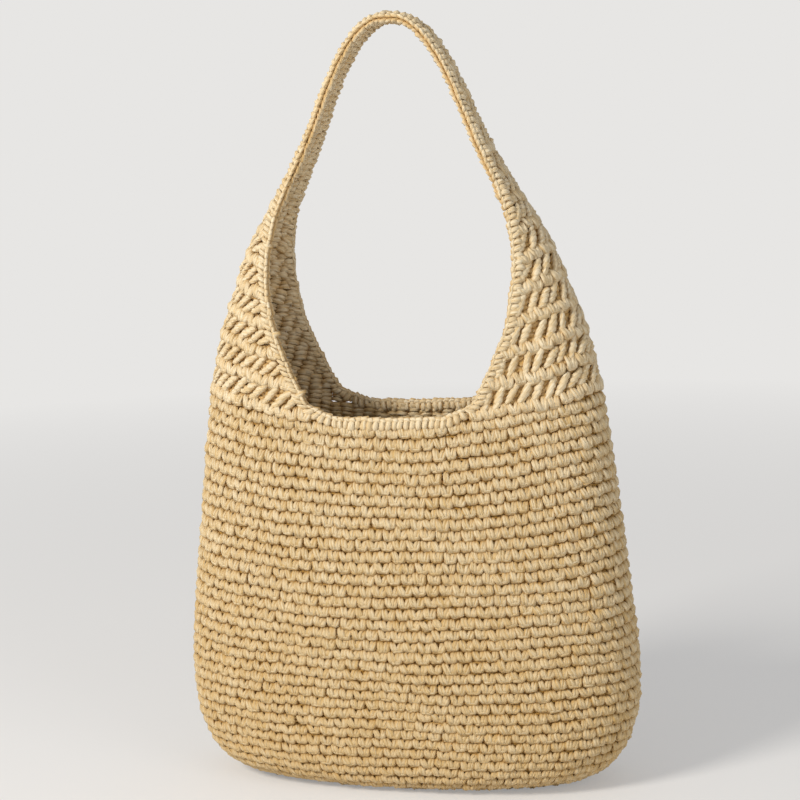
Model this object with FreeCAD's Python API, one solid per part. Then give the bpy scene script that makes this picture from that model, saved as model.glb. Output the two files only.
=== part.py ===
import FreeCAD, Part
import os
from math import acos, cos, hypot, pi, radians, sin, tan

# Crocheted raffia hobo bag, in millimetres. Z is up, X runs along the mouth and Y from front to back.
# The origin is under the middle of the base, on the surface that the bag stands on.
os.makedirs("parts", exist_ok=True)
Vec = FreeCAD.Vector

# ---- driving dimensions ----------------------------------------------------------------------
FABRIC = 7.0            # thickness of the crochet
PIECE_GAP = 0.2         # gap between neighbouring rounds, rows and edgings of one body
EDGING_WIDTH = 8.0      # band that the edging takes along the mouth and the strap
EDGING_RADIUS = 3.6     # half thickness of the edging
START_HALF_WIDTH = 5.0  # half width of the foundation chain
FLAT_REACH = 30.0       # how far the flat middle of the base reaches from the foundation chain
SQUARENESS = 2.5        # superellipse power of the plan outline
START_SQUARENESS = 7.5  # the same power at the foundation chain
SETTLED_REACH = 60.0    # from this distance outwards it is SQUARENESS alone

# Side outline from the end of the foundation chain, round the bottom corner and up to the strap's top
SIDE_LINE = [(100, 3.5), (130, 3.5), (155, 10), (180, 28), (194, 62), (196, 105), (191, 165), (183, 235),
             (175, 300), (169, 340), (157, 391), (143, 430), (127, 468), (108, 500), (86, 535), (70, 566),
             (57, 596), (43, 624), (27, 646), (12, 656), (0, 657.5)]
# Middle of the front, from the foundation chain to the rim
FRONT_LINE = [(0, 3.5), (28, 3.6), (46, 4.6), (62, 11), (69, 26), (71, 60), (71, 110), (69, 170), (65, 230),
              (59, 285), (55, 318)]
MOUTH_SIDE_Z = 340.0    # height of the side outline at the rim

# Wings and strap by height: half depth and reach towards the middle, edging included
WING_STATIONS = [(340, 54, 112), (356, 53, 95), (375, 51, 81), (391, 49, 69), (409, 47, 55), (426, 45, 44),
                 (443, 43, 35), (461, 39, 27), (478, 35, 21), (500, 30, 13), (530, 24, 7), (565, 20, 4),
                 (600, 18, 3), (660, 18, 3)]
# Droop of a row from the side to the middle of the bag, by height
DROOP_STATIONS = [(340, 22), (400, 26), (470, 30), (660, 30)]
TURN_START_Z = 430.0    # wing rows start to turn square to the side outline here
TURN_END_Z = 510.0      # and are square to it from here up

# Bands of rounds, by distance along the side outline from the foundation chain's end
TURN_START = 62.0
WALL_START = 128.0
WALL_MIDDLE = 205.0
WALL_UPPER = 290.0
RIM_BAND = 10.0         # height of the last round, at the rim

# Strap hinge: the strap flops to front and back across the wing tops
HINGE_Z = 500.0
HINGE_RADIUS = 31.0
HINGE_RANGE = 60.0
HINGE_CLEARANCE = 0.6
WING_GAP = 0.8          # between the last round and the first row of a wing
SEAM_HALF_WIDTH = 4.0   # join seam at the top of the strap
SEAM_GAP = 0.6          # between the seam and the strap's halves, which slope a little there
EDGING_END_DROP = 24.0  # the mouth's edging ends this far below the hinge
EDGING_START_RISE = 12.0  # and the strap's edging starts this far above it

# Planes beyond every piece, for the profiles that cut the wings and the strap at the hinge
LEFT_OF_ALL = -200.0
BESIDE_ALL = 150.0
ABOVE_ALL = 800.0
SPARE_ROW = 8.0         # a panel runs this far past its cut

# How finely the surfaces are set out
FINE = 240              # points along a round, before they are evened out
ROUND_POINTS = 25       # points that a half round's surface goes through
ROW_POINTS = 17         # points that a wing row's surface goes through
BAND_STEP = 14.0        # longest step between the rows of a surface
EDGE_STEP = 20.0        # and between the points of an edging's line
TUBE_STEP = 12.0        # between the circles of an edging
CIRCLE_POINTS = 16
HALF_STEP = 1.5         # to each side, for the direction of the side outline


# ---- outlines --------------------------------------------------------------------------------
def smooth_line(points, steps=24):
    """Centripetal spline through the points, as a fine polyline."""
    first = tuple(2 * a - b for a, b in zip(points[0], points[1]))
    last = tuple(2 * a - b for a, b in zip(points[-1], points[-2]))
    ends = [first] + list(points) + [last]
    line = []
    for p0, p1, p2, p3 in zip(ends, ends[1:], ends[2:], ends[3:]):
        t1 = hypot(p1[0] - p0[0], p1[1] - p0[1]) ** 0.5
        t2 = t1 + hypot(p2[0] - p1[0], p2[1] - p1[1]) ** 0.5
        t3 = t2 + hypot(p3[0] - p2[0], p3[1] - p2[1]) ** 0.5
        for step in range(steps):
            t = t1 + (t2 - t1) * step / steps
            point = []
            for a, b, c, d in zip(p0, p1, p2, p3):
                ab = ((t1 - t) * a + t * b) / t1
                bc = ((t2 - t) * b + (t - t1) * c) / (t2 - t1)
                cd = ((t3 - t) * c + (t - t2) * d) / (t3 - t2)
                abc = ((t2 - t) * ab + t * bc) / t2
                bcd = ((t3 - t) * bc + (t - t1) * cd) / (t3 - t1)
                point.append(((t2 - t) * abc + (t - t1) * bcd) / (t2 - t1))
            line.append(tuple(point))
    line.append(tuple(points[-1]))
    return line


def lengths(line):
    """Distance along a polyline at each of its points."""
    total = [0.0]
    for a, b in zip(line, line[1:]):
        total.append(total[-1] + sum((q - p) ** 2 for p, q in zip(a, b)) ** 0.5)
    return total


def interpolate(x, xs, ys):
    """Straight-line interpolation, held at both ends."""
    if x <= xs[0]:
        return ys[0]
    for x0, x1, y0, y1 in zip(xs, xs[1:], ys, ys[1:]):
        if x <= x1:
            return y0 + (y1 - y0) * (x - x0) / (x1 - x0)
    return ys[-1]


SIDE = smooth_line(SIDE_LINE)
SIDE_LENGTHS = lengths(SIDE)
FRONT = smooth_line(FRONT_LINE)
FRONT_LENGTHS = lengths(FRONT)
MOUTH = interpolate(MOUTH_SIDE_Z, [z for x, z in SIDE], SIDE_LENGTHS)
TOP = SIDE_LENGTHS[-1]


def side_at(distance):
    return tuple(interpolate(distance, SIDE_LENGTHS, [p[i] for p in SIDE]) for i in (0, 1))


def front_at(distance):
    along = distance * FRONT_LENGTHS[-1] / MOUTH
    return tuple(interpolate(along, FRONT_LENGTHS, [p[i] for p in FRONT]) for i in (0, 1))


def station(table, height, column):
    return interpolate(height, [row[0] for row in table], [row[column] for row in table])


def smooth_step(x):
    x = min(1.0, max(0.0, x))
    return x * x * (3 - 2 * x)


def oval(angle, power):
    """Point of a unit superellipse."""
    c = cos(angle)
    s = sin(angle)
    x = abs(c) ** (2 / power)
    y = abs(s) ** (2 / power)
    return (x if c >= 0 else -x), (y if s >= 0 else -y)


# ---- the middle surface of the crochet ----------------------------------------------------------
def wall_point(distance, angle):
    """Point of the base and wall: rounds droop from the sides to the middle of front and back."""
    half_length, side_z = side_at(distance)
    half_depth, front_z = front_at(distance)
    fade = max(0.0, 1 - distance / SETTLED_REACH)
    power = SQUARENESS + (START_SQUARENESS - SQUARENESS) * fade ** 2
    x, y = oval(angle, power)
    return half_length * x, half_depth * y, front_z + (side_z - front_z) * x * x


def wing_point(distance, turn):
    """Point of the right wing and strap, turn -1 at the front edge and 1 at the back edge."""
    half_length, z = side_at(distance)
    depth = station(WING_STATIONS, z, 1)
    reach = station(WING_STATIONS, z, 2)
    edge = max(0.0, min(1.0, (half_length - reach) / max(half_length, 1.0)))
    edge_angle = acos(edge ** (SQUARENESS / 2))
    x, y = oval(turn * edge_angle, SQUARENESS)
    scale = depth / max(sin(edge_angle) ** (2 / SQUARENESS), 0.3)
    droop = station(DROOP_STATIONS, z, 1)
    drooped = (half_length * x, scale * y, z - droop * (1 - x * x))
    x1, z1 = side_at(distance - HALF_STEP)
    x2, z2 = side_at(min(distance + HALF_STEP, TOP))
    run = hypot(x2 - x1, z2 - z1)
    inward = reach * (1 - cos(turn * pi / 2))
    square = (half_length - (z2 - z1) / run * inward, depth * sin(turn * pi / 2),
              z + (x2 - x1) / run * inward)
    mix = smooth_step((z - TURN_START_Z) / (TURN_END_Z - TURN_START_Z))
    return tuple(a * (1 - mix) + b * mix for a, b in zip(drooped, square))


def even_row(points, count, start=0.0, end=0.0):
    """Points at even spacing along a line, start and end cut off at its two ends."""
    along = lengths(points)
    row = []
    for i in range(count):
        wanted = start + (along[-1] - start - end) * i / (count - 1)
        row.append(Vec(*(interpolate(wanted, along, [p[k] for p in points]) for k in range(3))))
    return row


def round_row(distance, half):
    """Half a round of the wall, front or back, from the right side to the left."""
    sign = -1 if half == "front" else 1
    points = [wall_point(distance, sign * pi * i / FINE) for i in range(FINE + 1)]
    return even_row(points, ROUND_POINTS)


def wing_row(distance):
    points = [wing_point(distance, -1 + 2 * i / FINE) for i in range(FINE + 1)]
    return even_row(points, ROW_POINTS, EDGING_WIDTH, EDGING_WIDTH)


def normals(below, row, above, flat_ends):
    """Unit normals of a row of the surface, from its neighbours. Ends in the XZ plane stay in it."""
    result = []
    for i in range(len(row)):
        across = row[min(i + 1, len(row) - 1)] - row[max(i - 1, 0)]
        if flat_ends and i in (0, len(row) - 1):
            across = Vec(0, 1, 0)
        normal = across.cross(above[i] - below[i])
        normal.normalize()
        result.append(normal)
    return result


# ---- solids ----------------------------------------------------------------------------------
def surface_through(grid):
    surface = Part.BSplineSurface()
    surface.interpolate(grid)
    return surface


def offset_grids(row_at, distances, flat_ends, outward):
    """Outer and inner grids of points, half the fabric to each side of the middle surface."""
    outer = []
    inner = []
    for distance in distances:
        row = row_at(distance)
        across = normals(row_at(distance - 0.5), row, row_at(distance + 0.5), flat_ends)
        sign = 1 if outward(row[len(row) // 2], across[len(row) // 2]) else -1
        if flat_ends:
            facing = [sign if i not in (0, len(row) - 1) else None for i in range(len(row))]
            first = 1 if across[0].dot(across[1]) * sign > 0 else -1
            last = 1 if across[-1].dot(across[-2]) * sign > 0 else -1
            facing[0] = first
            facing[-1] = last
        else:
            facing = [sign] * len(row)
        shifts = [n * (FABRIC / 2 * f) for n, f in zip(across, facing)]
        outer.append([p + s for p, s in zip(row, shifts)])
        inner.append([p - s for p, s in zip(row, shifts)])
    return outer, inner


def edge_between(outer, inner, side):
    """Ruled face that closes the fabric between its two surfaces at one border."""
    curves = []
    for surface in (outer, inner):
        u0, u1, v0, v1 = surface.bounds()
        curve = {"first": lambda: surface.uIso(u0), "last": lambda: surface.uIso(u1),
                 "start": lambda: surface.vIso(v0), "end": lambda: surface.vIso(v1)}[side]()
        curves.append(curve.toShape())
    return Part.makeRuledSurface(curves[0], curves[1])


def closed_solid(faces):
    shape = Part.makeCompound(faces)
    shape.sewShape(0.01)
    solid = Part.makeSolid(shape.Shells[0])
    if solid.Volume < 0:
        solid.reverse()
    if not solid.isValid() or len(shape.Shells) != 1:
        raise RuntimeError("open or invalid solid")
    return solid


def steps(start, end, longest=BAND_STEP):
    count = max(3, int((end - start) / longest) + 2)
    return [start + (end - start) * i / (count - 1) for i in range(count)]


def ring(start, end):
    """A band of rounds that runs all the way round the bag."""
    distances = steps(start + PIECE_GAP / 2, end - PIECE_GAP / 2)
    faces = []
    for half in ("front", "back"):
        away = Vec(0, -1 if half == "front" else 1, -0.2)
        outer, inner = offset_grids(lambda d: round_row(d, half), distances, True,
                                    lambda p, n: n.dot(away) > 0)
        outer = surface_through(outer)
        inner = surface_through(inner)
        faces += [outer.toShape(), inner.toShape()]
        faces += [edge_between(outer, inner, "first"), edge_between(outer, inner, "last")]
    return closed_solid(faces)


def panel(start, end):
    """A right-hand panel worked back and forth: part of a wing or of the strap."""
    distances = steps(start, end)
    outer, inner = offset_grids(wing_row, distances, False, lambda p, n: n.dot(Vec(1, 0, 0.5)) > 0)
    outer = surface_through(outer)
    inner = surface_through(inner)
    borders = [edge_between(outer, inner, side) for side in ("first", "last", "start", "end")]
    return closed_solid([outer.toShape(), inner.toShape()] + borders)


def tube(points, radius):
    """Round edging along a smooth line that stays off the Y axis."""
    curve = Part.BSplineCurve()
    curve.interpolate(points)
    count = max(12, int(curve.length() / TUBE_STEP))
    parameters = [curve.parameterAtDistance(curve.length() * i / count) for i in range(count + 1)]
    grid = []
    for parameter in parameters:
        centre = curve.value(parameter)
        along = curve.tangent(parameter)[0]
        side = (Vec(0, 1, 0) - along * along.y).normalize()
        up = along.cross(side)
        angles = [2 * pi * k / CIRCLE_POINTS for k in range(CIRCLE_POINTS)]
        circle = [centre + side * (radius * cos(a)) + up * (radius * sin(a)) for a in angles]
        grid.append(circle + circle[:1])
    skin = surface_through(grid)
    caps = [Part.Face(Part.Wire([skin.uIso(end).toShape()])) for end in skin.bounds()[:2]]
    return closed_solid([skin.toShape()] + caps)


def flat_oval(distance, shrink):
    """Closed outline of one round of the flat base, on the resting surface."""
    points = [wall_point(distance, 2 * pi * i / (4 * FINE)) for i in range(4 * FINE)]
    half_length = max(p[0] for p in points)
    half_depth = max(p[1] for p in points)
    scale_x = (half_length - shrink) / half_length
    scale_y = (half_depth - shrink) / half_depth
    row = even_row([(x * scale_x, y * scale_y, 0.0) for x, y, z in points + points[:1]], 65)
    curve = Part.BSplineCurve()
    curve.interpolate(row[:-1], PeriodicFlag=True)
    return Part.Wire([curve.toShape()])


def flat_piece(distance, hole_distance=None):
    """A piece of the flat middle of the base."""
    face = Part.Face(flat_oval(distance, 3 * PIECE_GAP))
    solid = face.extrude(Vec(0, 0, FABRIC))
    if hole_distance:
        hole = Part.Face(flat_oval(hole_distance, -PIECE_GAP / 2)).extrude(Vec(0, 0, FABRIC))
        solid = solid.cut(hole)
    return solid


def across_x(profile):
    """Extrude a closed YZ profile right across the bag."""
    return Part.Face(Part.Wire(profile)).extrude(Vec(-2 * LEFT_OF_ALL, 0, 0))


def seat_profile():
    """What the strap's foot needs: a round seat that opens upwards by the hinge's range."""
    radius = HINGE_RADIUS + HINGE_CLEARANCE
    seat = radians(90 - HINGE_RANGE)
    x = LEFT_OF_ALL
    left = Vec(x, -radius * sin(seat), HINGE_Z - radius * cos(seat))
    right = Vec(x, radius * sin(seat), HINGE_Z - radius * cos(seat))
    bottom = Vec(x, 0, HINGE_Z - radius)
    run = BESIDE_ALL - radius * sin(seat)
    rise = run * tan(seat)
    corners = [right, right + Vec(0, run, rise), Vec(x, BESIDE_ALL, ABOVE_ALL),
               Vec(x, -BESIDE_ALL, ABOVE_ALL), left + Vec(0, -run, rise), left]
    sides = [Part.makeLine(a, b) for a, b in zip(corners, corners[1:])]
    return [Part.Arc(left, bottom, right).toShape()] + sides


def foot_profile():
    """The strap's outline seen from the side: a half disc under straight sides."""
    x = LEFT_OF_ALL
    left = Vec(x, -HINGE_RADIUS, HINGE_Z)
    right = Vec(x, HINGE_RADIUS, HINGE_Z)
    bottom = Vec(x, 0, HINGE_Z - HINGE_RADIUS)
    corners = [right, Vec(x, HINGE_RADIUS, ABOVE_ALL), Vec(x, -HINGE_RADIUS, ABOVE_ALL), left]
    sides = [Part.makeLine(a, b) for a, b in zip(corners, corners[1:])]
    return [Part.Arc(left, bottom, right).toShape()] + sides


def mirrored(shape):
    return shape.mirror(Vec(0, 0, 0), Vec(1, 0, 0))


# ---- pieces ----------------------------------------------------------------------------------
def distance_at_height(z):
    return interpolate(z, [p[1] for p in SIDE], SIDE_LENGTHS)


def make_wing():
    top = distance_at_height(HINGE_Z + 5)
    wing = panel(MOUTH + WING_GAP, top).cut(across_x(seat_profile()))
    for sign in (-1, 1):
        wing = wing.cut(tube(mouth_edging_line(sign), EDGING_RADIUS + PIECE_GAP))
    return wing.Solids[0]


def make_strap_half():
    bottom = distance_at_height(HINGE_Z - HINGE_RADIUS - SPARE_ROW)
    beyond = TOP - SEAM_HALF_WIDTH - SEAM_GAP
    return panel(bottom, beyond).common(across_x(foot_profile()))


def make_seam():
    """Bar across the strap's top, between its two halves."""
    row = wing_row(TOP - SEAM_HALF_WIDTH - SEAM_GAP)
    half_width = row[-1].y
    top_z = SIDE_LINE[-1][1]
    bar = Part.makeBox(2 * SEAM_HALF_WIDTH, 2 * half_width, FABRIC)
    bar.translate(Vec(-SEAM_HALF_WIDTH, -half_width, top_z - FABRIC / 2))
    return bar


def edging_point(distance, sign):
    """Middle of the edging beside a wing's or the strap's edge."""
    points = [wing_point(distance, sign * i / FINE) for i in range(FINE + 1)]
    return even_row(points, 2, 0.0, EDGING_WIDTH / 2)[-1]


def rim_point(angle, sign):
    x, y, z = wall_point(MOUTH, angle)
    return Vec(x, sign * y, z + EDGING_WIDTH / 2)


def both_halves(right_half):
    """A line over both halves of the bag, from its right half, which starts at the middle."""
    left_half = [Vec(-p.x, p.y, p.z) for p in reversed(right_half) if p.x > 0.01]
    return left_half + right_half


def mouth_edging_line(sign):
    """Middle of the edging on the rim between the wings and up their edges."""
    rim = [rim_point(radians(a), sign) for a in (90, 84, 78)]
    top = distance_at_height(HINGE_Z - EDGING_END_DROP)
    wings = [edging_point(d, sign) for d in steps(MOUTH + 2 * EDGING_WIDTH, top, EDGE_STEP)]
    return both_halves(rim + wings)


def strap_edging(sign):
    start = distance_at_height(HINGE_Z + EDGING_START_RISE)
    points = [edging_point(d, sign) for d in steps(start, TOP - 1.5 * EDGING_WIDTH, EDGE_STEP)]
    top = Vec(0, points[-1].y, SIDE_LINE[-1][1] - 1.5)
    return tube(both_halves([top] + points[::-1]), EDGING_RADIUS)


def build():
    wing = make_wing()
    strap = make_strap_half()
    return {
        "base_start_chain": flat_piece(START_HALF_WIDTH),
        "base_centre_rounds": flat_piece(FLAT_REACH, START_HALF_WIDTH),
        "base_outer_rounds": ring(FLAT_REACH, TURN_START),
        "base_turn_rounds": ring(TURN_START, WALL_START),
        "wall_lower_rounds": ring(WALL_START, WALL_MIDDLE),
        "wall_middle_rounds": ring(WALL_MIDDLE, WALL_UPPER),
        "wall_upper_rounds": ring(WALL_UPPER, MOUTH - RIM_BAND),
        "mouth_round": ring(MOUTH - RIM_BAND, MOUTH),
        "wing_right": wing,
        "wing_left": mirrored(wing),
        "strap_right": strap,
        "strap_left": mirrored(strap),
        "strap_join_seam": make_seam(),
        "mouth_edging_front": tube(mouth_edging_line(-1), EDGING_RADIUS),
        "mouth_edging_back": tube(mouth_edging_line(1), EDGING_RADIUS),
        "strap_edging_front": strap_edging(-1),
        "strap_edging_back": strap_edging(1),
    }


for name, shape in build().items():
    points = shape.tessellate(0.5)[0]
    ranges = [f"{min(c):.1f}..{max(c):.1f}" for c in zip(*points)]
    print(f"{name:22s} solids {len(shape.Solids)} valid {shape.isValid()}",
          f"volume {shape.Volume / 1000:.1f} cm3 x {ranges[0]} y {ranges[1]} z {ranges[2]}")
    shape.exportStep(f"parts/{name}.step")
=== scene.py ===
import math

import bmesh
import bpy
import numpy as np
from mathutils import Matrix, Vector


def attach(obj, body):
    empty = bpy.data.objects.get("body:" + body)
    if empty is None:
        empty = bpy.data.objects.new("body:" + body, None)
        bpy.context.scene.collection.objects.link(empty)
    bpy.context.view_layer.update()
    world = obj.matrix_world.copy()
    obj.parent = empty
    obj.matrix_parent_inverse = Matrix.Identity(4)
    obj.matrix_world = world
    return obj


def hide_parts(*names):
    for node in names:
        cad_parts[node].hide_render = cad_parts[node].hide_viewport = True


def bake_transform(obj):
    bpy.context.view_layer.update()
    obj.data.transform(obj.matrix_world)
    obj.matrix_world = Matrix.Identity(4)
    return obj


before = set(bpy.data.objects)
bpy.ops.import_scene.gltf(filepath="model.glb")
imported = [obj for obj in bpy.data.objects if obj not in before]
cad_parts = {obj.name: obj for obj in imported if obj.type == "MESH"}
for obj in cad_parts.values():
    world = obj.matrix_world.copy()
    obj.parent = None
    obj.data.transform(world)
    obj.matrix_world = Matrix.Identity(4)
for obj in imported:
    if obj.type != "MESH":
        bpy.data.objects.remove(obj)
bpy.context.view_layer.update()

# %% [markdown]
# # A crocheted raffia hobo bag
# The real bag is one long length of raffia worked in single crochet: an oval base, a wall in rounds, two
# shoulder wings worked back and forth in rows, and a strap that goes on from the wings.
# Nothing on it is smooth, so the fabric is made the way it is on the real bag: one stitch is modelled, an
# Array modifier sets it out as a flat strip, and the strip is laid round by round on the bag's form.

MM = 0.001
random_numbers = np.random.default_rng(7)

# %% [markdown]
# ## The form of the bag
# A soft bag that stands up by itself has a flat middle under it, round lower corners and walls that lean in
# towards the mouth. Two outlines hold all of that: one runs from the foundation chain round the bottom corner
# and up the side to the top of the strap, the other up the middle of the front. Every round of stitches is a
# rounded oval between them, and it hangs lower in the middle of the front than at the sides.

# %% Outlines and stations, in millimetres
SIDE_LINE = [(100, 3.5), (130, 3.5), (155, 10), (180, 28), (194, 62), (196, 105), (191, 165), (183, 235),
             (175, 300), (169, 340), (157, 391), (143, 430), (127, 468), (108, 500), (86, 535), (70, 566),
             (57, 596), (43, 624), (27, 646), (12, 656), (0, 657.5)]
FRONT_LINE = [(0, 3.5), (28, 3.6), (46, 4.6), (62, 11), (69, 26), (71, 60), (71, 110), (69, 170), (65, 230),
              (59, 285), (55, 318)]
MOUTH_SIDE_Z = 340.0
WING_STATIONS = [(340, 54, 112), (356, 53, 95), (375, 51, 81), (391, 49, 69), (409, 47, 55), (426, 45, 44),
                 (443, 43, 35), (461, 39, 27), (478, 35, 21), (500, 30, 13), (530, 24, 7), (565, 20, 4),
                 (600, 18, 3), (660, 18, 3)]
DROOP_STATIONS = [(340, 22), (400, 26), (470, 30), (660, 30)]
TURN_START_Z = 430.0
TURN_END_Z = 510.0
SQUARENESS = 2.5
START_SQUARENESS = 7.5
EDGING_WIDTH = 8.0
HINGE_Z = 500.0


# %% Smooth outlines and their lengths
def smooth_line(points, steps=24):
    """Centripetal spline through the points, as a fine polyline."""
    points = np.asarray(points, float)
    ends = np.vstack([2 * points[0] - points[1], points, 2 * points[-1] - points[-2]])
    line = []
    for p0, p1, p2, p3 in zip(ends, ends[1:], ends[2:], ends[3:]):
        t1 = np.linalg.norm(p1 - p0) ** 0.5
        t2 = t1 + np.linalg.norm(p2 - p1) ** 0.5
        t3 = t2 + np.linalg.norm(p3 - p2) ** 0.5
        t = (t1 + (t2 - t1) * np.arange(steps) / steps)[:, None]
        ab = ((t1 - t) * p0 + t * p1) / t1
        bc = ((t2 - t) * p1 + (t - t1) * p2) / (t2 - t1)
        cd = ((t3 - t) * p2 + (t - t2) * p3) / (t3 - t2)
        abc = ((t2 - t) * ab + t * bc) / t2
        bcd = ((t3 - t) * bc + (t - t1) * cd) / (t3 - t1)
        line.append(((t2 - t) * abc + (t - t1) * bcd) / (t2 - t1))
    return np.vstack(line + [points[-1:]])


def lengths(line):
    """Distance along a polyline at each of its points."""
    return np.concatenate([[0.0], np.cumsum(np.linalg.norm(np.diff(line, axis=0), axis=1))])


SIDE = smooth_line(SIDE_LINE)
SIDE_LENGTHS = lengths(SIDE)
FRONT = smooth_line(FRONT_LINE)
FRONT_LENGTHS = lengths(FRONT)
MOUTH = float(np.interp(MOUTH_SIDE_Z, SIDE[:, 1], SIDE_LENGTHS))
TOP = float(SIDE_LENGTHS[-1])
print(f"side outline {TOP:.0f} mm, of it {MOUTH:.0f} mm up to the mouth")


def side_at(distance):
    return np.interp(distance, SIDE_LENGTHS, SIDE[:, 0]), np.interp(distance, SIDE_LENGTHS, SIDE[:, 1])


def front_at(distance):
    along = distance * FRONT_LENGTHS[-1] / MOUTH
    return np.interp(along, FRONT_LENGTHS, FRONT[:, 0]), np.interp(along, FRONT_LENGTHS, FRONT[:, 1])


def station(table, height, column):
    table = np.asarray(table, float)
    return float(np.interp(height, table[:, 0], table[:, column]))


def smooth_step(x):
    x = np.clip(x, 0.0, 1.0)
    return x * x * (3 - 2 * x)


def oval(angle, power):
    """Points of a unit superellipse."""
    c = np.cos(angle)
    s = np.sin(angle)
    return np.sign(c) * np.abs(c) ** (2 / power), np.sign(s) * np.abs(s) ** (2 / power)


# %% One round of the wall, one row of a wing
FINE = 600
SQUARE_FADE = 60.0      # the first rounds are squarer, out to this distance
HALF_STEP = 1.5
LEAST_SCALE = 0.3


def wall_round(distance):
    """Fine closed round, from the left side along the front to the right side and back."""
    half_length, side_z = side_at(distance)
    half_depth, front_z = front_at(distance)
    fade = max(0.0, 1 - distance / SQUARE_FADE)
    power = SQUARENESS + (START_SQUARENESS - SQUARENESS) * fade ** 2
    x, y = oval(np.linspace(-math.pi, math.pi, FINE + 1), power)
    return np.stack([half_length * x, half_depth * y, front_z + (side_z - front_z) * x * x], -1)


def wing_row(distance):
    """Fine row of the right wing or strap, from its front edge to its back edge."""
    half_length, z = side_at(distance)
    depth = station(WING_STATIONS, z, 1)
    reach = station(WING_STATIONS, z, 2)
    edge = min(1.0, max(0.0, (half_length - reach) / max(half_length, 1.0)))
    edge_angle = math.acos(edge ** (SQUARENESS / 2))
    turn = np.linspace(-1, 1, FINE + 1)
    x, y = oval(turn * edge_angle, SQUARENESS)
    scale = depth / max(math.sin(edge_angle) ** (2 / SQUARENESS), LEAST_SCALE)
    droop = station(DROOP_STATIONS, z, 1)
    drooped = np.stack([half_length * x, scale * y, z - droop * (1 - x * x)], -1)
    x1, z1 = side_at(distance - HALF_STEP)
    x2, z2 = side_at(min(distance + HALF_STEP, TOP))
    run = math.hypot(x2 - x1, z2 - z1)
    inward = reach * (1 - np.cos(turn * math.pi / 2))
    square = np.stack([half_length - (z2 - z1) / run * inward, depth * np.sin(turn * math.pi / 2),
                       z + (x2 - x1) / run * inward], -1)
    mix = smooth_step((z - TURN_START_Z) / (TURN_END_Z - TURN_START_Z))
    return drooped * (1 - mix) + square * mix


# %% [markdown]
# ## A form that stitches can be laid on
# Each form is kept as a grid of points, evenly spaced along every round, with the outward direction at each
# one. A stitch then needs only three numbers for each of its points: how far along the round, how far up the
# fabric and how far out of it. Keeping the form apart from the stitch means that the same stitch serves the
# base, the wall, the wings and the strap.

# %% The forms as grids
SAMPLES = 400
GRID_STEP = 3.0
OPEN_MARGIN = 0.2       # how far past its ends a row may be asked for, as a share of it


class Form:
    """A surface of rounds or rows, by distance up the side outline and share of the round."""

    def __init__(self, row_at, start, end, closed, beyond=16.0):
        self.closed = closed
        self.distances = np.linspace(start, end, int((end - start) / GRID_STEP) + 2)
        rows = [self.even(row_at(d)) for d in self.distances]
        step = self.distances[1] - self.distances[0]
        rows.append(rows[-1] + (rows[-1] - rows[-2]) * beyond / step)
        rows.insert(0, rows[0] - (rows[1] - rows[0]) * beyond / step)
        self.distances = np.concatenate([[start - beyond], self.distances, [end + beyond]])
        self.points = np.array(rows)
        self.row_lengths = np.linalg.norm(np.diff(self.points, axis=1), axis=2).sum(axis=1)
        if closed:
            around = np.roll(self.points[:, :-1], -1, 1) - np.roll(self.points[:, :-1], 1, 1)
            around = np.concatenate([around, around[:, :1]], 1)
        else:
            around = np.gradient(self.points, axis=1)
        up = np.gradient(self.points, self.distances, axis=0)
        normal = np.cross(around, up)
        self.normals = normal / np.maximum(np.linalg.norm(normal, axis=2, keepdims=True), 1e-9)

    @staticmethod
    def even(row):
        along = lengths(row)
        wanted = np.linspace(0, along[-1], SAMPLES + 1)
        return np.stack([np.interp(wanted, along, row[:, k]) for k in range(3)], -1)

    def length(self, distance):
        return np.interp(distance, self.distances, self.row_lengths)

    def place(self, distance, share):
        """Points and outward directions at these distances and shares of the round."""
        share = share % 1.0 if self.closed else np.clip(share, -OPEN_MARGIN, 1 + OPEN_MARGIN)
        i = np.clip(np.searchsorted(self.distances, distance) - 1, 0, len(self.distances) - 2)
        f = (distance - self.distances[i]) / (self.distances[i + 1] - self.distances[i])
        j = np.clip((share * SAMPLES).astype(int), 0, SAMPLES - 1)
        g = (share * SAMPLES - j)[..., None]
        f = f[..., None]
        result = []
        for grid in (self.points, self.normals):
            low = grid[i, j] * (1 - g) + grid[i, j + 1] * g
            high = grid[i + 1, j] * (1 - g) + grid[i + 1, j + 1] * g
            result.append(low * (1 - f) + high * f)
        return result


bag_form = Form(wall_round, 2.0, MOUTH, True)
wing_form = Form(wing_row, MOUTH, TOP, False)
print(f"mouth round {bag_form.length(MOUTH):.0f} mm, widest {bag_form.row_lengths.max():.0f} mm")

# %% [markdown]
# ## The stitches
# A single crochet stitch seen from outside is a fat block of raffia: a left leg that leans over, a more
# upright right leg, and a wide rounded foot that both of them run into, with a short notch on top where the
# hook went in. Each leg shows as two strands. Behind them three bars tie the stitch to its neighbours and
# close the fabric. Seen from the other face, as on every second row of a wing, slanting strands lie side by
# side instead.
# Each strand is a chain of circles bridged into a tube. It could be a curve with a bevel, but bridged circles
# let every corner be placed, and the tube needs only five or six sides, because some thousands of stitches
# are laid. Its corners are pushed in and out a little, as in a flat fibre that has folded up.

# %% A strand of raffia through a few points
STITCH_WIDTH = 10.8
STITCH_HEIGHT = 9.6
FLATNESS = 0.85
FOLD = 0.10
FOLD_TURN = 2.4
FOLD_DRIFT = 0.7
STRAND_SHIFT = 40.0     # keeps the fibres of one strand from repeating on the next


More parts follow.
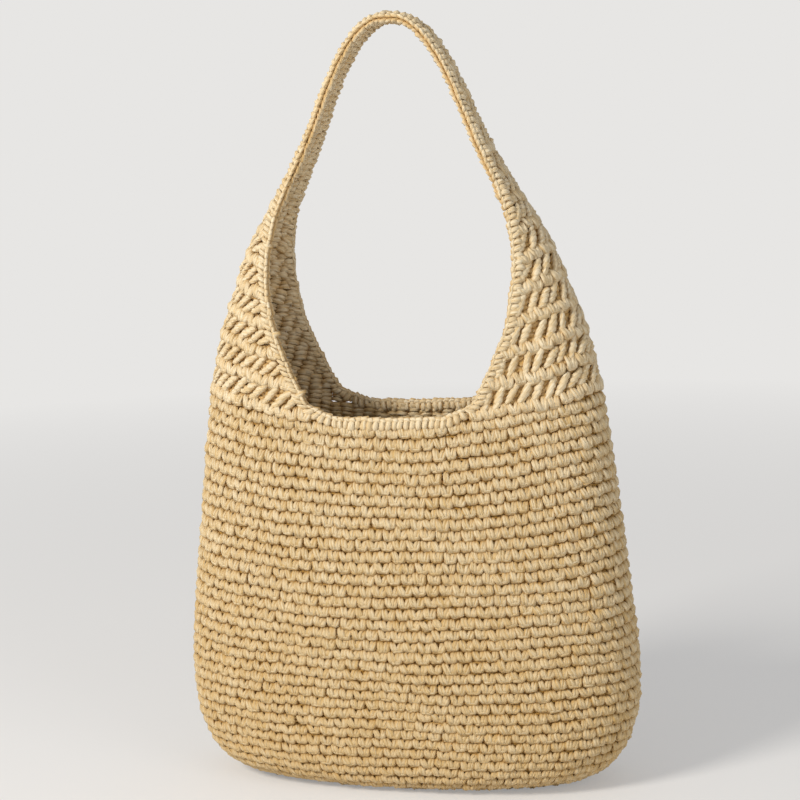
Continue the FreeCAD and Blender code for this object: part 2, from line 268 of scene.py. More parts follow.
def strand(mesh, uv_layer, points, radii, sides, number):
    """Closed, slightly folded tube. Its UV map holds millimetres around and along the strand."""
    points = [Vector(p) for p in points]
    girth = 2 * math.pi * sum(radii) / len(radii)
    along = STRAND_SHIFT * number
    rings = []
    for k, (point, radius) in enumerate(zip(points, radii)):
        before = points[max(k - 1, 0)]
        after = points[min(k + 1, len(points) - 1)]
        direction = (after - before).normalized()
        side = direction.cross(Vector((0, 0, 1))).normalized()
        out = side.cross(direction)
        turn = Matrix((side, out * FLATNESS, direction)).transposed().to_4x4()
        cap = k in (0, len(points) - 1)
        ring = bmesh.ops.create_circle(mesh, cap_ends=cap, segments=sides, radius=radius,
                                       matrix=Matrix.Translation(point) @ turn)["verts"]
        for n, corner in enumerate(ring):
            fold = 1 + FOLD * math.cos(FOLD_TURN * n + FOLD_DRIFT * k + number)
            corner.co = point + (corner.co - point) * fold
        if k:
            along += (point - points[k - 1]).length
        rings.append((ring, along))
    for (low, low_along), (high, high_along) in zip(rings, rings[1:]):
        loops = [e for ring in (low, high) for e in
                 {e for v in ring for e in v.link_edges if e.other_vert(v) in ring}]
        number_of = {v: (n, low_along) for n, v in enumerate(low)}
        number_of.update({v: (n, high_along) for n, v in enumerate(high)})
        for face in bmesh.ops.bridge_loops(mesh, edges=loops)["faces"]:
            seam = {number_of[v][0] for v in face.verts} == {0, sides - 1}
            for loop in face.loops:
                n, length = number_of[loop.vert]
                n = sides if seam and n == 0 else n
                loop[uv_layer].uv = (n / sides * girth, length)


def stitch_mesh(name, strands):
    """One master stitch as a mesh."""
    mesh = bmesh.new()
    uv_layer = mesh.loops.layers.uv.new("strand")
    for number, (points, radii, sides) in enumerate(strands):
        strand(mesh, uv_layer, points, radii, sides, number)
    bmesh.ops.recalc_face_normals(mesh, faces=mesh.faces)
    for face in mesh.faces:
        face.smooth = True
    data = bpy.data.meshes.new(name)
    mesh.to_mesh(data)
    mesh.free()
    print(name, len(data.polygons), "faces")
    return data


# %% The wall's stitch
def doubled(points, radii, apart, sides=5):
    """Two strands side by side instead of one: the fibre is worked folded, and shows as two."""
    pair = []
    for side in (-0.5, 0.5):
        pair.append(([(x + side * apart, y - 0.25 * side * apart, z) for x, y, z in points], radii, sides))
    return pair


def wall_strands(lean, notch, foot):
    """How far the left leg leans, how far right the notch is, and how wide the foot is, in mm."""
    left_leg = doubled([(-3.5 - lean, 5.6, -1.0), (-3.2 - lean / 2, 3.2, 1.2), (-2.3, 0.2, 2.2),
                        (-1.2, -3.2, 1.7)], [1.4, 2.0, 2.3, 2.0], 2.1)
    right_leg = doubled([(notch + 3.4, 5.4, -1.1), (notch + 3.3, 3.0, 0.8), (notch + 2.6, 0.0, 1.9),
                         (1.9, -3.2, 1.6)], [1.3, 1.8, 2.1, 1.9], 2.0)
    foot_lobe = [([(-foot, -2.0, -0.3), (-foot / 2, -2.6, 1.0), (foot / 2, -2.6, 1.0), (foot, -1.9, -0.3)],
                  [2.0, 2.7, 2.7, 1.9], 5)]
    return left_leg + right_leg + foot_lobe + BARS


BARS = [([(-6.2, -2.7, -1.1), (0.4, -1.7, -2.9), (6.2, -2.9, -1.1)], [1.9, 2.6, 1.9], 5),
        ([(-6.2, 1.0, -1.0), (-0.5, 1.7, -2.6), (6.2, 0.6, -1.0)], [2.1, 2.7, 2.1], 5),
        ([(-6.2, 4.6, -1.1), (0.2, 4.9, -2.3), (6.2, 4.5, -1.1)], [2.1, 2.6, 2.1], 5)]
WALL_KINDS = [(0.0, 0.0, 5.0), (1.5, 0.7, 5.3), (-0.8, -0.6, 4.6), (0.6, 0.4, 5.5)]
wall_stitches = [stitch_mesh(f"wall_stitch_{k}", wall_strands(*kind)) for k, kind in enumerate(WALL_KINDS)]


# %% The bead of a wing row that is worked from behind
def bead_strands(lean, length, puff):
    """How steeply its strands lean, half their length and how far out they stand, in mm."""
    strands = []
    for x, y, size in ((-4.0, -3.9, 0.92), (-1.3, -1.3, 1.05), (1.4, 1.3, 1.0), (4.1, 3.8, 0.88)):
        strands.append(([(x - length, y - lean, -0.2), (x - length / 3, y - lean / 3, 1.7 + puff * size),
                         (x + length / 3, y + lean / 3, 1.7 + puff * size), (x + length, y + lean, -0.2)],
                        [1.6 * size, 2.4 * size, 2.4 * size, 1.5 * size], 5))
    return strands + BARS


BEAD_KINDS = [(1.6, 4.4, 0.0), (2.8, 5.0, 0.8), (0.3, 4.8, 0.2), (2.2, 3.8, 1.2)]
bead_stitches = [stitch_mesh(f"bead_stitch_{k}", bead_strands(*kind)) for k, kind in enumerate(BEAD_KINDS)]


# %% The edging's stitch: a strand across each face, and two leaves of a chain along the edge
def edging_strands(lean, chain):
    """How far its cross strands lean, and how far the chain's leaves stand up, in mm."""
    strands = [([(-3.6, -3.6, 0), (0, -3.4, 0), (3.6, -3.6, 0)], [3.0, 3.3, 3.0], 5)]
    for face in (1, -1):
        strands.append(([(-0.6 - lean, -7.0, 1.6 * face), (-0.2 - lean / 2, -4.4, 3.1 * face),
                         (0.2, -1.4, 3.2 * face), (0.8, 1.2, 2.0 * face)], [1.9, 2.5, 2.4, 1.7], 5))
        strands.append(([(-3.9, -0.2, 0.1 * face), (-1.0, 1.2 + chain, 1.5 * face),
                         (1.6, 1.5 + chain, 2.3 * face), (3.8, -0.2, 1.9 * face)], [1.2, 2.1, 2.3, 1.1], 6))
    return strands


EDGING_KINDS = [(0.0, 0.0), (1.6, 0.6), (-0.9, -0.3)]
edging_stitches = [stitch_mesh(f"edging_stitch_{k}", edging_strands(*kind))
                   for k, kind in enumerate(EDGING_KINDS)]


# %% [markdown]
# ## Laying stitches on a form
# An Array modifier sets out as many stitches as the piece has, in one flat strip. Each stitch then gets its
# place on the form, and every point of it goes along, up and out from there, so stitches bend with the bag.
# Nobody pulls every loop alike, so each stitch is a random blend of three or four masters, its corners are
# crumpled, and it is a little larger or smaller, turned, and pushed in or out. It keeps two numbers that the
# material reads: its own random shade of colour, and the relief of each point, which is low in a crease, where
# the material paints shade. The draws are seeded.

# %% How uneven the work is, in millimetres
CRUMPLE = 0.22
KIND_MIX = 0.6
GROUND = 0.25
# painted shade: the inside of the fabric and its middle count lower, so they get more of the painted crease
# colour
INSIDE_PAINTED_SHADE = 1.0       # the inside's crowns count as this much lower than the outside's
SIZE_SPREAD = 0.05      # shares of a stitch's size, and radians of its lean
TALL_SPREAD = 0.06
LEAN_SPREAD = 0.10
SLIP_ALONG = 0.45
SLIP_UP = 0.40
SLIP_OUT = 0.35
WAVE = 0.8


# %% A flat strip of stitches
def strip_of(stitches, count):
    """Mesh with this many stitches on one spot, made by an Array modifier, and the points of each."""
    holder = bpy.data.objects.new("strip", stitches[0])
    bpy.context.scene.collection.objects.link(holder)
    array = holder.modifiers.new("copies", "ARRAY")
    array.count = count
    array.use_relative_offset = False
    array.use_constant_offset = True
    array.constant_offset_displace = (0, 0, 0)
    depsgraph = bpy.context.evaluated_depsgraph_get()
    data = bpy.data.meshes.new_from_object(holder.evaluated_get(depsgraph), preserve_all_data_layers=True,
                                           depsgraph=depsgraph)
    bpy.data.objects.remove(holder)
    kinds = []
    for stitch in stitches:
        points = np.empty(len(stitch.vertices) * 3)
        stitch.vertices.foreach_get("co", points)
        kinds.append(points.reshape(-1, 3))
    shares = random_numbers.dirichlet([KIND_MIX] * len(kinds), size=count)
    local = np.einsum("ck,kvx->cvx", shares, np.array(kinds))
    return data, local + CRUMPLE * random_numbers.normal(size=local.shape)


# %% Slow waves in a round
def wobble(share, row, waves=((3, 1.0), (5, 0.8), (11, 0.45))):
    """Slow wave of a round up and down, a little different at every round."""
    total = 0.0
    for number, (count, size) in enumerate(waves):
        phase = 2.1 * number + 0.33 * row
        total = total + size * np.sin(2 * math.pi * count * share + phase)
    return total


# %% Stitches onto a form
def lay(name, stitches, form, rows, swap_sides=False):
    """Lay stitches on a form. Each row: distance, height, shares of its stitches, pitch and depth, in mm."""
    distance, height, pitch, depth, number = (
        np.concatenate([np.full(len(row["shares"]), row[key]) for row in rows])
        for key in ("distance", "height", "pitch", "depth", "number"))
    share = np.concatenate([row["shares"] for row in rows])
    count = len(share)
    data, local = strip_of(stitches, count)
    draw = random_numbers.normal(size=(count, 6))
    size = 1 + SIZE_SPREAD * draw[:, 0:1]
    lean = LEAN_SPREAD * draw[:, 1:2]
    x = local[..., 0] * size
    y = local[..., 1] * (1 + TALL_SPREAD * draw[:, 2:3])
    along = (x * np.cos(lean) - y * np.sin(lean)) * (pitch / STITCH_WIDTH)[:, None]
    along = along + SLIP_ALONG * draw[:, 3:4]
    up = (x * np.sin(lean) + y * np.cos(lean)) * (height / STITCH_HEIGHT)[:, None] + SLIP_UP * draw[:, 4:5]
    up = up + WAVE * wobble(share, number)[:, None]
    out = local[..., 2] * size + (depth + SLIP_OUT * draw[:, 5])[:, None]
    if form.closed:
        shares = share[:, None] + along / form.length(distance)[:, None]
    else:
        across = (share - 0.5) * form.length(distance)
        shares = 0.5 + (across[:, None] + along) / form.length(distance[:, None] + up)
    points, normals = form.place(distance[:, None] + up, shares)
    place = points + normals * out[..., None]
    if swap_sides:
        place[..., 0] *= -1
    return placed(name, data, place, np.where(local[..., 2] > 0, local[..., 2], -local[..., 2] - INSIDE_PAINTED_SHADE))


# %% One piece of fabric out of its points
def placed(name, data, place, relief):
    """Give a strip its points, off the ground, and let the material tell stitches apart and paint shade into
    their creases.
    """
    place[..., 2] = np.maximum(place[..., 2], GROUND)
    data.vertices.foreach_set("co", (place * MM).ravel())
    count, per_stitch = relief.shape
    shade = data.attributes.new("shade", "FLOAT", "POINT")
    shade.data.foreach_set("value", np.repeat(random_numbers.random(count), per_stitch))
    data.attributes.new("relief", "FLOAT", "POINT").data.foreach_set("value", relief.ravel())
    data.update()
    piece = bpy.data.objects.new(name, data)
    bpy.context.scene.collection.objects.link(piece)
    print(f"{name}: {count} stitches, {len(data.polygons)} faces, maps {data.uv_layers.keys()}")
    return piece


# %% [markdown]
# ## Base and wall
# The rounds are set out from the foundation chain outwards. In the base each round has more stitches than the
# one before, because it is longer. From the turn upwards the count stays the same, so the stitches are a
# little wider low down, where the bag is wide, and narrower at the mouth. The rounds are taller near the
# mouth, where no weight presses them.

# %% Where the rounds are
WALL_STITCHES = 76
ROUND_HEIGHTS = [(0, 9.0), (130, 9.0), (200, 9.7), (260, 10.2), (400, 10.6)]
TURN_FROM = 62.0
MOUTH_ROUND = 10.5
BANDS = [("base_centre_rounds", 5.0, 30.0), ("base_outer_rounds", 30.0, TURN_FROM),
         ("base_turn_rounds", TURN_FROM, 128.0), ("wall_lower_rounds", 128.0, 205.0),
         ("wall_middle_rounds", 205.0, 290.0), ("wall_upper_rounds", 290.0, MOUTH - MOUTH_ROUND),
         ("mouth_round", MOUTH - MOUTH_ROUND, MOUTH)]
INNERMOST = 8.0
DRIFT = 0.16


def set_out_rounds():
    rounds = []
    top = MOUTH
    while top > INNERMOST:
        height = float(np.interp(top, *zip(*ROUND_HEIGHTS)))
        distance = top - height / 2
        length = float(bag_form.length(distance))
        count = WALL_STITCHES if distance > TURN_FROM else int(round(length / STITCH_WIDTH))
        rounds.append({"distance": distance, "height": height, "count": count, "pitch": length / count})
        top -= height
    rounds.reverse()
    for number, row in enumerate(rounds):
        start = (DRIFT * number) % 1.0
        row["number"] = number
        row["depth"] = 0.0
        row["shares"] = (np.arange(row["count"]) + start) / row["count"]
    return rounds


rounds = set_out_rounds()
print(len(rounds), "rounds")

# %% Base and wall pieces
fabric = {}
for name, start, end in BANDS:
    rows = [row for row in rounds if start <= row["distance"] < end]
    fabric[name] = lay(name, wall_stitches, bag_form, rows)

# %% The foundation chain
CHAIN_PITCH = 8.5
HALF_CHAIN = SIDE_LINE[0][0]
CHAIN_HEIGHT = 3.5
chain_places = np.arange(-HALF_CHAIN, HALF_CHAIN, CHAIN_PITCH)
chain, points = strip_of(edging_stitches, len(chain_places))
relief = points[..., 2].copy()
points[..., 0] += chain_places[:, None]
points[..., 2] += CHAIN_HEIGHT
fabric["base_start_chain"] = placed("base_start_chain", chain, points, relief)

# %% [markdown]
# ## Wings and strap
# The wings are worked back and forth, so every second row shows the back of its stitches. Two rows make one
# ridge: a row of the wall's stitches, and above it a row of beads, whose slanting strands lie side by side.
# The strap is the same fabric, and narrows to two or three stitches. The left wing is not a mirrored copy:
# its stitches lean the same way as on the right one, so its rows are laid in the other order on the
# mirrored form.

# %% Rows of a wing and of half the strap
RIDGE = 23.4
LEG_SHARE = 0.46
BEAD_SHARE = 1 - LEG_SHARE
LEG_DEPTH = 0.9
BEAD_DEPTH = -0.1
UNDER_EDGING = 3.0
WING_END = float(np.interp(HINGE_Z, SIDE[:, 1], SIDE_LENGTHS))


def set_out_ridges(start, end):
    """Rows of legs and rows of beads, as two lists."""
    legs = []
    beads = []
    ridges = max(1, int(round((end - start) / RIDGE)))
    ridge = (end - start) / ridges
    for k in range(ridges):
        low = start + k * ridge
        for rows, offset, height, depth in (
                (legs, LEG_SHARE / 2, LEG_SHARE * ridge, LEG_DEPTH),
                (beads, LEG_SHARE + BEAD_SHARE / 2, BEAD_SHARE * ridge, BEAD_DEPTH)):
            distance = low + offset * ridge
            length = float(wing_form.length(distance))
            fabric_length = length - 2 * EDGING_WIDTH + UNDER_EDGING
            count = max(2, int(round(fabric_length / STITCH_WIDTH)))
            pitch = fabric_length / count
            first = 0.5 - fabric_length / length / 2
            shares = first + (np.arange(count) + 0.5) * pitch / length
            rows.append({"distance": distance, "height": height, "pitch": pitch, "depth": depth,
                         "shares": shares, "number": k * 1.7})
    return legs, beads


# %% The left-hand side, and one piece out of two kinds of rows
class Mirrored:
    """The left-hand wing: the right-hand form run through in the other order."""

    def __init__(self, form):
        self.form = form
        self.length = form.length
        self.closed = False

    def place(self, distance, share):
        points, normals = self.form.place(distance, 1.0 - share)
        return points, normals


def joined(name, pieces):
    """One piece out of several, by bmesh."""
    mesh = bmesh.new()
    for piece in pieces:
        mesh.from_mesh(piece.data)
        bpy.data.objects.remove(piece)
    data = bpy.data.meshes.new(name)
    mesh.to_mesh(data)
    mesh.free()
    whole = bpy.data.objects.new(name, data)
    bpy.context.scene.collection.objects.link(whole)
    return whole


# %% Wing and strap pieces
left_form = Mirrored(wing_form)
for side, form, swap in (("right", wing_form, False), ("left", left_form, True)):
    for part, start, end in (("wing", MOUTH, WING_END), ("strap", WING_END, TOP - 4)):
        legs, beads = set_out_ridges(start, end)
        name = f"{part}_{side}"
        fabric[name] = joined(name, [lay(name + "_legs", wall_stitches, form, legs, swap),
                                     lay(name + "_beads", bead_stitches, form, beads, swap)])


# %% [markdown]
# ## Edging
# A last row of stitches runs round the mouth, up the wings' edges and along the strap. Each of its stitches
# covers the ends of the rows with a strand on each face, and the tops of the stitches make a chain along the
# edge. It is laid along a line just beyond the fabric, with the outward direction of the fabric beside it.

# %% Lines for the edging
def edge_line(sign, start, end, step=6.0):
    """Middle line of the edging on the right half, its outward and its towards-the-mouth directions."""
    distances = np.arange(start, end, step)
    inset = EDGING_WIDTH / 2 / wing_form.length(distances)
    shares = inset if sign < 0 else 1 - inset
    points, normals = wing_form.place(distances, shares)
    inner, _ = wing_form.place(distances, shares + (0.02 if sign < 0 else -0.02))
    towards = points - inner
    return points, normals, towards / np.linalg.norm(towards, axis=1, keepdims=True)


# %% The rim between the wings
def rim_line(sign):
    """The same along the rim between the wings, from the middle to the right."""
    angle = np.radians([90, 84, 78])
    half_length, side_z = side_at(MOUTH)
    half_depth, front_z = front_at(MOUTH)
    x, y = oval(angle, SQUARENESS)
    points = np.stack([half_length * x, sign * half_depth * y, front_z + (side_z - front_z) * x * x], -1)
    points[:, 2] += EDGING_WIDTH / 2
    normals = np.tile([0.0, sign, 0.0], (len(points), 1))
    towards = np.tile([0.0, 0.0, 1.0], (len(points), 1))
    return points, normals, towards


# %% Two halves made one line
def whole_line(halves):
    """Both halves of a line, smoothed and evenly spaced. It runs to the right as seen from outside."""
    points, normals, towards = (np.concatenate(parts) for parts in zip(*halves))
    flip = np.array([-1.0, 1.0, 1.0])
    lines = []
    for values in (points, normals, towards):
        lines.append(np.concatenate([values[:0:-1] * flip, values]))
    if abs(points[0, 0]) > 1:
        lines = [np.concatenate([values[::-1] * flip, values]) for values in (points, normals, towards)]
    smooth = smooth_line(lines[0], 8)
    keys = np.arange(len(lines[0]))
    fine = np.arange(len(smooth)) / 8
    frames = [np.stack([np.interp(fine, keys, v[:, k]) for k in range(3)], -1) for v in lines[1:]]
    return [smooth] + frames


# %% Edging pieces
EDGING_PITCH = 5.2


def lay_edging(name, line, reverse=False):
    points, normals, towards = (values[::-1] if reverse else values for values in line)
    along = lengths(points)
    count = int(along[-1] / EDGING_PITCH)
    centres = (np.arange(count) + 0.5) * along[-1] / count
    data, local = strip_of(edging_stitches, count)
    draw = random_numbers.normal(size=(count, 3))
    size = 1 + 0.06 * draw[:, 0:1]
    wanted = centres[:, None] + local[..., 0] * size + 0.3 * draw[:, 1:2]
    at = [np.stack([np.interp(wanted, along, values[:, k]) for k in range(3)], -1)
          for values in (points, normals, towards)]
    across = at[2] / np.linalg.norm(at[2], axis=-1, keepdims=True)
    outward = at[1] / np.linalg.norm(at[1], axis=-1, keepdims=True)
    place = at[0] + across * (local[..., 1] * size + 0.3 * draw[:, 2:3])[..., None]
    place = place + outward * (local[..., 2] * size)[..., None]
    return placed(name, data, place, np.abs(local[..., 2]))


for side, sign in (("front", -1), ("back", 1)):
    mouth_line = whole_line([rim_line(sign), edge_line(sign, MOUTH + 16, WING_END)])
    fabric[f"mouth_edging_{side}"] = lay_edging(f"mouth_edging_{side}", mouth_line, reverse=sign > 0)
    strap_line = whole_line([[v[::-1] for v in edge_line(sign, WING_END, TOP - 3)]])
    fabric[f"strap_edging_{side}"] = lay_edging(f"strap_edging_{side}", strap_line, reverse=sign < 0)

# %% The seam at the top of the strap
seam_width = 2 * (station(WING_STATIONS, 657.0, 1) - EDGING_WIDTH)
seam_places = np.linspace(-seam_width / 2 + 3, seam_width / 2 - 3, 3)
seam, points = strip_of(edging_stitches, len(seam_places))
turned = np.stack([points[..., 1], points[..., 0] + seam_places[:, None], points[..., 2] + SIDE_LINE[-1][1]], -1)
fabric["strap_join_seam"] = placed("strap_join_seam", seam, turned, points[..., 2].copy())

# %% [markdown]
# ## Raffia
# Raffia is a flat palm fibre: pale cream to golden, matt with a slight gloss, and finely streaked along its
# length. The streaks follow each strand, so they read the strand's own UV map. The low parts of a stitch are
# painted a deeper golden than its crown: painted shade in the creases, standing in for the light that gets into
# a crease and comes back out golden. The colour is also painted darker and more golden towards the bottom of
# the bag, as painted shade. One stitch also differs a little from the next, and one patch of the bag from
# another, as bundles of fibre do.
# The group puts out only a colour, a roughness and a height, and each material sets its own tones.

# %% Small helpers for nodes
def socket(tree, name, direction, kind):
    tree.interface.new_socket(name=name, in_out=direction, socket_type=kind)


def math_node(tree, operation, *values):
    """Math node; each value is a number or the output to link."""
    node = tree.nodes.new("ShaderNodeMath")
    node.operation = operation
    for place, value in zip(node.inputs, values):
        if isinstance(value, (int, float)):
            place.default_value = value
        else:
            tree.links.new(value, place)
    return node.outputs[0]


def stretch(tree, value, low, high, to_low=0.0, to_high=1.0):
    """Map Range node from low and high to the other two."""
    node = tree.nodes.new("ShaderNodeMapRange")
    for name, number in (("From Min", low), ("From Max", high), ("To Min", to_low), ("To Max", to_high)):
        node.inputs[name].default_value = number
    tree.links.new(value, node.inputs["Value"])
    return node.outputs[0]


def noise(tree, vector, scale, detail, roughness=0.6):
    node = tree.nodes.new("ShaderNodeTexNoise")
    node.inputs["Scale"].default_value = scale
    node.inputs["Detail"].default_value = detail
    node.inputs["Roughness"].default_value = roughness
    tree.links.new(vector, node.inputs["Vector"])
    return node.outputs["Fac"]


def mixed(tree, factor, first, second):
    node = tree.nodes.new("ShaderNodeMix")
    node.data_type = "RGBA"
    for value, place in ((factor, "Factor"), (first, "A"), (second, "B")):
        tree.links.new(value, node.inputs[place])
    return node.outputs["Result"]


# %% A node group for raffia
FIBRE_LENGTHENING = 0.05     # fibres are this many times as fine along the strand as around it
SHADE_SHIFT = 91.0


def raffia_group():
    tree = bpy.data.node_groups.new("raffia", "ShaderNodeTree")
    for name in ("Pale", "Golden", "Crease Shade"):
        socket(tree, name, "INPUT", "NodeSocketColor")
    socket(tree, "Unevenness", "INPUT", "NodeSocketFloat")
    for name, kind in (("Color", "NodeSocketColor"), ("Roughness", "NodeSocketFloat"),
                       ("Height", "NodeSocketFloat")):
        socket(tree, name, "OUTPUT", kind)
    inputs = tree.nodes.new("NodeGroupInput").outputs
    outputs = tree.nodes.new("NodeGroupOutput").inputs
    strand_map = tree.nodes.new("ShaderNodeUVMap")
    strand_map.uv_map = "strand"
    shade = tree.nodes.new("ShaderNodeAttribute")
    shade.attribute_name = "shade"
    relief = tree.nodes.new("ShaderNodeAttribute")
    relief.attribute_name = "relief"
    # fibres run along the strand, so its length counts for a twentieth of its girth in the noise
    apart = tree.nodes.new("ShaderNodeSeparateXYZ")
    tree.links.new(strand_map.outputs["UV"], apart.inputs[0])
    place = tree.nodes.new("ShaderNodeCombineXYZ")
    tree.links.new(apart.outputs["X"], place.inputs["X"])
    tree.links.new(math_node(tree, "MULTIPLY", apart.outputs["Y"], FIBRE_LENGTHENING), place.inputs["Y"])
    tree.links.new(math_node(tree, "MULTIPLY", shade.outputs["Fac"], SHADE_SHIFT), place.inputs["Z"])
    fibres = noise(tree, place.outputs[0], 0.75, 3.0, 0.65)
    streak = stretch(tree, fibres, 0.38, 0.60)
    # patches of the bag, from bundle to bundle of fibre
    spot = tree.nodes.new("ShaderNodeTexCoord")
    patch = stretch(tree, noise(tree, spot.outputs["Object"], 30.0, 2.0), 0.35, 0.65)
    own = math_node(tree, "ADD", math_node(tree, "MULTIPLY", shade.outputs["Fac"], 0.6),
                    math_node(tree, "MULTIPLY", patch, 0.4))
    # painted shade: towards the bottom of the bag the colour is made darker and more golden
    height = tree.nodes.new("ShaderNodeSeparateXYZ")
    tree.links.new(spot.outputs["Object"], height.inputs[0])
    painted_shade_by_height = stretch(tree, height.outputs["Z"], 0.02, 0.34)
    even = math_node(tree, "SUBTRACT", 1.0, inputs["Unevenness"])
    tone = math_node(tree, "ADD", math_node(tree, "MULTIPLY", streak, even),
                     math_node(tree, "MULTIPLY", own, inputs["Unevenness"]))
    # painted shade: the creases, the low parts of each stitch, take the deep crease colour instead of the
    # surface colour
    crown_over_painted_shade = stretch(tree, relief.outputs["Fac"], -0.4, 3.2)
    tone = math_node(tree, "MULTIPLY", tone, stretch(tree, painted_shade_by_height, 0.0, 1.0, 0.62, 1.0))
    surface = mixed(tree, tone, inputs["Golden"], inputs["Pale"])
    tree.links.new(mixed(tree, crown_over_painted_shade, inputs["Crease Shade"], surface), outputs["Color"])
    tree.links.new(stretch(tree, fibres, 0.0, 1.0, 0.8, 0.5), outputs["Roughness"])
    tree.links.new(fibres, outputs["Height"])
    return tree


raffia = raffia_group()
print("raffia group:", len(raffia.nodes), "nodes")


# %% One material for each part of the bag
def raffia_material(name, pale, golden, crease_shade, unevenness, bump):
    material = bpy.data.materials.new(name)
    material.use_nodes = True
    nodes = material.node_tree.nodes
    link = material.node_tree.links.new
    shader = nodes["Principled BSDF"]
    shader.inputs["Specular IOR Level"].default_value = 0.25
    group = nodes.new("ShaderNodeGroup")
    group.node_tree = raffia
    group.inputs["Pale"].default_value = (*pale, 1)
    group.inputs["Golden"].default_value = (*golden, 1)
    # the deep colour is painted shade for the creases
    group.inputs["Crease Shade"].default_value = (*crease_shade, 1)
    group.inputs["Unevenness"].default_value = unevenness
    relief = nodes.new("ShaderNodeBump")
    relief.inputs["Strength"].default_value = bump
    relief.inputs["Distance"].default_value = 0.002
    link(group.outputs["Color"], shader.inputs["Base Color"])
    link(group.outputs["Roughness"], shader.inputs["Roughness"])
    link(group.outputs["Height"], relief.inputs["Height"])
    link(relief.outputs["Normal"], shader.inputs["Normal"])
    return material


# Each set holds a pale, a golden and a deep colour; the deep one is painted shade for the creases of the
# stitches.
PALE = (0.79, 0.67, 0.46)
GOLDEN = (0.56, 0.37, 0.14)
CREASE_SHADE = (0.46, 0.25, 0.05)
# the wings, strap and edging have paler, softer tones than the wall and base
WING_PALE = (0.83, 0.71, 0.50)
SOFT_GOLDEN = (0.64, 0.45, 0.21)
SOFT_CREASE_SHADE = (0.56, 0.34, 0.11)
materials = {
    "raffia_wall": raffia_material("raffia_wall", PALE, GOLDEN, CREASE_SHADE, 0.3, 0.7),
    "raffia_wing": raffia_material("raffia_wing", WING_PALE, SOFT_GOLDEN, SOFT_CREASE_SHADE, 0.3, 0.7),
    "raffia_strap": raffia_material("raffia_strap", WING_PALE, SOFT_GOLDEN, SOFT_CREASE_SHADE, 0.3, 0.7),
    "raffia_edging": raffia_material("raffia_edging", WING_PALE, SOFT_GOLDEN, SOFT_CREASE_SHADE, 0.3, 0.6),
    "raffia_base": raffia_material("raffia_base", PALE, GOLDEN, CREASE_SHADE, 0.35, 0.7),
}
print("finishes:", ", ".join(materials))


# %% [markdown]
# ## Which part moves what
# The wall and base are attached to the bag's body. The wings, the strap and the edging keep their points where
# they were laid and are not attached to a body.

# %% Bodies, replaced CAD solids and finishes
for name, piece in fabric.items():
    kind = name.split("_")[0]
    slot = {"base": "raffia_base", "wall": "raffia_wall", "mouth": "raffia_wall", "wing": "raffia_wing",
            "strap": "raffia_strap"}[kind]
    if "edging" in name or name in ("base_start_chain", "strap_join_seam"):
        slot = "raffia_edging" if kind != "base" else "raffia_base"
    piece.data.materials.append(materials[slot])
    if kind in ("wing", "strap") or "edging" in name:
        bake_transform(piece)
    else:
        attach(piece, "bag")
    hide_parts(name)
print(len(fabric), "pieces of fabric on two bodies")

# %% [markdown]
# ## Floor, light and camera
# A plain pale floor holds the bag's shadow. Far from the bag it fades into the pale tone that the camera sees
# behind it, so no horizon shows from any side. One large soft lamp from the front left gives the stitches
# their relief, a weaker one from the right keeps the far side readable, and a pale world fills the creases.

# %% Floor
BACKGROUND = (0.80, 0.79, 0.775, 1)
FLOOR_SIZE = 60.0
FADE_FROM = 0.5
FADE_TO = 2.6
floor_mesh = bmesh.new()
bmesh.ops.create_grid(floor_mesh, x_segments=1, y_segments=1, size=FLOOR_SIZE)
floor_data = bpy.data.meshes.new("floor")
floor_mesh.to_mesh(floor_data)
floor_mesh.free()
floor = bpy.data.objects.new("floor", floor_data)
bpy.context.scene.collection.objects.link(floor)
floor_material = bpy.data.materials.new("floor")
floor_material.use_nodes = True
tree = floor_material.node_tree
tree.nodes["Principled BSDF"].inputs["Base Color"].default_value = (0.84, 0.82, 0.79, 1)
tree.nodes["Principled BSDF"].inputs["Roughness"].default_value = 0.9
glow = tree.nodes.new("ShaderNodeEmission")
glow.inputs["Color"].default_value = BACKGROUND
spot = tree.nodes.new("ShaderNodeTexCoord")
away = tree.nodes.new("ShaderNodeVectorMath")
away.operation = "LENGTH"
tree.links.new(spot.outputs["Object"], away.inputs[0])
fade = stretch(tree, away.outputs["Value"], FADE_FROM, FADE_TO, 0.35, 1.0)
seen = tree.nodes.new("ShaderNodeLightPath")
either = tree.nodes.new("ShaderNodeMixShader")
tree.links.new(math_node(tree, "MULTIPLY", fade, seen.outputs["Is Camera Ray"]), either.inputs["Fac"])
tree.links.new(tree.nodes["Principled BSDF"].outputs[0], either.inputs[1])
tree.links.new(glow.outputs[0], either.inputs[2])
tree.links.new(either.outputs[0], tree.nodes["Material Output"].inputs["Surface"])
floor_data.materials.append(floor_material)
print(f"floor fades out between {FADE_FROM} and {FADE_TO} m")


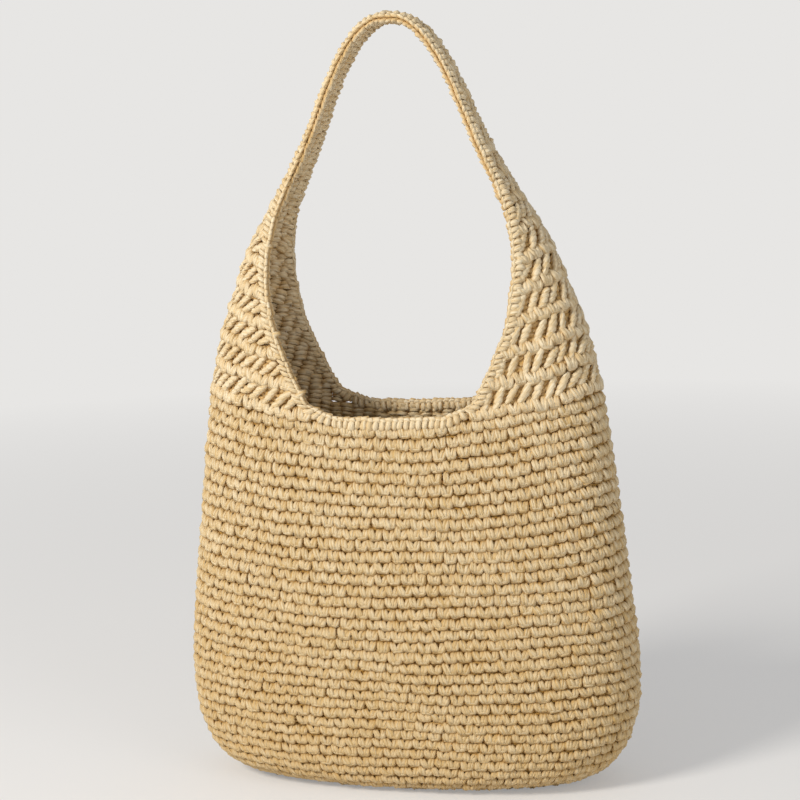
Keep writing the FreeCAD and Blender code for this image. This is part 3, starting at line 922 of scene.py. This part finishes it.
# %% Lamps and world
def soft_lamp(name, place, size, power, color, aim=(0, 0, 0.3)):
    data = bpy.data.lights.new(name, "AREA")
    data.shape = "DISK"
    data.size = size
    data.energy = power
    data.color = color
    lamp = bpy.data.objects.new(name, data)
    lamp.location = place
    lamp.rotation_euler = (Vector(aim) - Vector(place)).to_track_quat("-Z", "Y").to_euler()
    bpy.context.scene.collection.objects.link(lamp)
    print(name, "lamp", power, "W")


soft_lamp("key", (-1.5, -2.0, 1.9), 0.9, 75.0, (1.0, 0.97, 0.92))
soft_lamp("fill", (2.2, -1.6, 1.2), 1.8, 14.0, (0.95, 0.97, 1.0))
world = bpy.data.worlds.new("studio")
world.use_nodes = True
daylight = world.node_tree.nodes["Background"]
daylight.inputs["Color"].default_value = (0.93, 0.95, 1.0, 1)
daylight.inputs["Strength"].default_value = 0.42
seen = world.node_tree.nodes.new("ShaderNodeBackground")
seen.inputs["Color"].default_value = BACKGROUND
path = world.node_tree.nodes.new("ShaderNodeLightPath")
either = world.node_tree.nodes.new("ShaderNodeMixShader")
world.node_tree.links.new(path.outputs["Is Camera Ray"], either.inputs["Fac"])
world.node_tree.links.new(daylight.outputs[0], either.inputs[1])
world.node_tree.links.new(seen.outputs[0], either.inputs[2])
world.node_tree.links.new(either.outputs[0], world.node_tree.nodes["World Output"].inputs["Surface"])
bpy.context.scene.world = world
bpy.context.scene.view_settings.view_transform = "Standard"

# %% Camera
CAMERA_TURN = math.radians(14.0)
CAMERA_DISTANCE = 1.6
CAMERA_HEIGHT = 0.56
CAMERA_AIM = Vector((-0.0034, 0, 0.3323))
CAMERA_ROLL = math.radians(-2.0)
camera_data = bpy.data.cameras.new("camera")
camera_data.lens = 84.2
camera_data.sensor_width = 36.0
camera = bpy.data.objects.new("camera", camera_data)
camera.location = (CAMERA_DISTANCE * math.sin(CAMERA_TURN), -CAMERA_DISTANCE * math.cos(CAMERA_TURN),
                   CAMERA_HEIGHT)
look = (CAMERA_AIM - camera.location).to_track_quat("-Z", "Y").to_matrix()
camera.rotation_euler = (look @ Matrix.Rotation(CAMERA_ROLL, 3, "Z")).to_euler()
bpy.context.scene.collection.objects.link(camera)
bpy.context.scene.camera = camera
print("camera at", tuple(round(value, 3) for value in camera.location))
